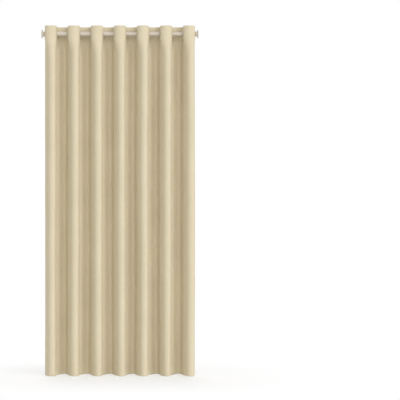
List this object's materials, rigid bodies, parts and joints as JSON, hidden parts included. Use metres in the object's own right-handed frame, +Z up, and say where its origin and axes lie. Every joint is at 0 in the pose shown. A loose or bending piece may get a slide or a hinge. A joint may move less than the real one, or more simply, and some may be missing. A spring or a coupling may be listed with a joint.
{
  "type": "blackout door curtain",
  "caption": "Floor-length pleated eyelet curtain panel that hangs on a spring-loaded tension rod, to be pressed between the jambs of a doorway and drawn to one side.",
  "frame": {"origin": "middle of the left pad's outer face, on the rod's axis, where the rod presses on the left jamb", "axes": "+X along the rod from the left jamb to the right, +Y away from the room that the folds face, +Z up"},
  "size_m": [0.9, 0.1033, 2],
  "materials": {
    "cloth": "matte",
    "rod_paint": "satin",
    "cap_plastic": "satin",
    "eyelet_plastic": "satin",
    "inner_plastic": "matte",
    "pad_rubber": "matte",
    "spring_steel": "satin"
  },
  "bodies": {
    "rod_outer": {"outer_tube": "rod_paint", "left_end_cap": "cap_plastic", "left_pad": "pad_rubber", "spring_seat": "inner_plastic", "tension_spring": "spring_steel", "curtain_panel": "cloth", "eyelet_face_01": "eyelet_plastic", "eyelet_back_01": "eyelet_plastic"},
    "rod_inner": {"inner_tube": "rod_paint", "spring_plunger": "inner_plastic", "right_end_cap": "cap_plastic", "right_pad": "pad_rubber"},
    "eyelet_02": {"eyelet_face_02": "eyelet_plastic", "eyelet_back_02": "eyelet_plastic"},
    "eyelet_03": {"eyelet_face_03": "eyelet_plastic", "eyelet_back_03": "eyelet_plastic"},
    "eyelet_04": {"eyelet_face_04": "eyelet_plastic", "eyelet_back_04": "eyelet_plastic"},
    "eyelet_05": {"eyelet_face_05": "eyelet_plastic", "eyelet_back_05": "eyelet_plastic"},
    "eyelet_06": {"eyelet_face_06": "eyelet_plastic", "eyelet_back_06": "eyelet_plastic"},
    "eyelet_07": {"eyelet_face_07": "eyelet_plastic", "eyelet_back_07": "eyelet_plastic"},
    "eyelet_08": {"eyelet_face_08": "eyelet_plastic", "eyelet_back_08": "eyelet_plastic"},
    "eyelet_09": {"eyelet_face_09": "eyelet_plastic", "eyelet_back_09": "eyelet_plastic"},
    "eyelet_10": {"eyelet_face_10": "eyelet_plastic", "eyelet_back_10": "eyelet_plastic"},
    "eyelet_11": {"eyelet_face_11": "eyelet_plastic", "eyelet_back_11": "eyelet_plastic"},
    "eyelet_12": {"eyelet_face_12": "eyelet_plastic", "eyelet_back_12": "eyelet_plastic"},
    "eyelet_13": {"eyelet_face_13": "eyelet_plastic", "eyelet_back_13": "eyelet_plastic"},
    "eyelet_14": {"eyelet_face_14": "eyelet_plastic", "eyelet_back_14": "eyelet_plastic"}
  },
  "joints": [
    {"name": "rod_extend", "type": "slide", "parent": "rod_outer", "child": "rod_inner", "axis": [1, 0, 0], "range_m": [0, 0.1], "deforming": ["tension_spring"]},
    {"name": "curtain_draw", "type": "slide", "parent": "rod_outer", "child": "eyelet_14", "axis": [-1, 0, 0], "range_m": [0, 0.6], "deforming": ["curtain_panel"]},
    {"name": "eyelet_02_slide", "type": "slide", "parent": "rod_outer", "child": "eyelet_02", "axis": [-1, 0, 0], "range_m": [0, 0.04625]},
    {"name": "eyelet_03_slide", "type": "slide", "parent": "rod_outer", "child": "eyelet_03", "axis": [-1, 0, 0], "range_m": [0, 0.09241]},
    {"name": "eyelet_04_slide", "type": "slide", "parent": "rod_outer", "child": "eyelet_04", "axis": [-1, 0, 0], "range_m": [0, 0.13856]},
    {"name": "eyelet_05_slide", "type": "slide", "parent": "rod_outer", "child": "eyelet_05", "axis": [-1, 0, 0], "range_m": [0, 0.18471]},
    {"name": "eyelet_06_slide", "type": "slide", "parent": "rod_outer", "child": "eyelet_06", "axis": [-1, 0, 0], "range_m": [0, 0.23087]},
    {"name": "eyelet_07_slide", "type": "slide", "parent": "rod_outer", "child": "eyelet_07", "axis": [-1, 0, 0], "range_m": [0, 0.27702]},
    {"name": "eyelet_08_slide", "type": "slide", "parent": "rod_outer", "child": "eyelet_08", "axis": [-1, 0, 0], "range_m": [0, 0.32318]},
    {"name": "eyelet_09_slide", "type": "slide", "parent": "rod_outer", "child": "eyelet_09", "axis": [-1, 0, 0], "range_m": [0, 0.36933]},
    {"name": "eyelet_10_slide", "type": "slide", "parent": "rod_outer", "child": "eyelet_10", "axis": [-1, 0, 0], "range_m": [0, 0.41548]},
    {"name": "eyelet_11_slide", "type": "slide", "parent": "rod_outer", "child": "eyelet_11", "axis": [-1, 0, 0], "range_m": [0, 0.46164]},
    {"name": "eyelet_12_slide", "type": "slide", "parent": "rod_outer", "child": "eyelet_12", "axis": [-1, 0, 0], "range_m": [0, 0.50779]},
    {"name": "eyelet_13_slide", "type": "slide", "parent": "rod_outer", "child": "eyelet_13", "axis": [-1, 0, 0], "range_m": [0, 0.55395]}
  ],
  "couplings": [
    {"joint": "eyelet_02_slide", "follows": "curtain_draw", "ratio": 0.076923},
    {"joint": "eyelet_03_slide", "follows": "curtain_draw", "ratio": 0.15385},
    {"joint": "eyelet_04_slide", "follows": "curtain_draw", "ratio": 0.23077},
    {"joint": "eyelet_05_slide", "follows": "curtain_draw", "ratio": 0.30769},
    {"joint": "eyelet_06_slide", "follows": "curtain_draw", "ratio": 0.38462},
    {"joint": "eyelet_07_slide", "follows": "curtain_draw", "ratio": 0.46154},
    {"joint": "eyelet_08_slide", "follows": "curtain_draw", "ratio": 0.53846},
    {"joint": "eyelet_09_slide", "follows": "curtain_draw", "ratio": 0.61538},
    {"joint": "eyelet_10_slide", "follows": "curtain_draw", "ratio": 0.69231},
    {"joint": "eyelet_11_slide", "follows": "curtain_draw", "ratio": 0.76923},
    {"joint": "eyelet_12_slide", "follows": "curtain_draw", "ratio": 0.84615},
    {"joint": "eyelet_13_slide", "follows": "curtain_draw", "ratio": 0.92308}
  ]
}
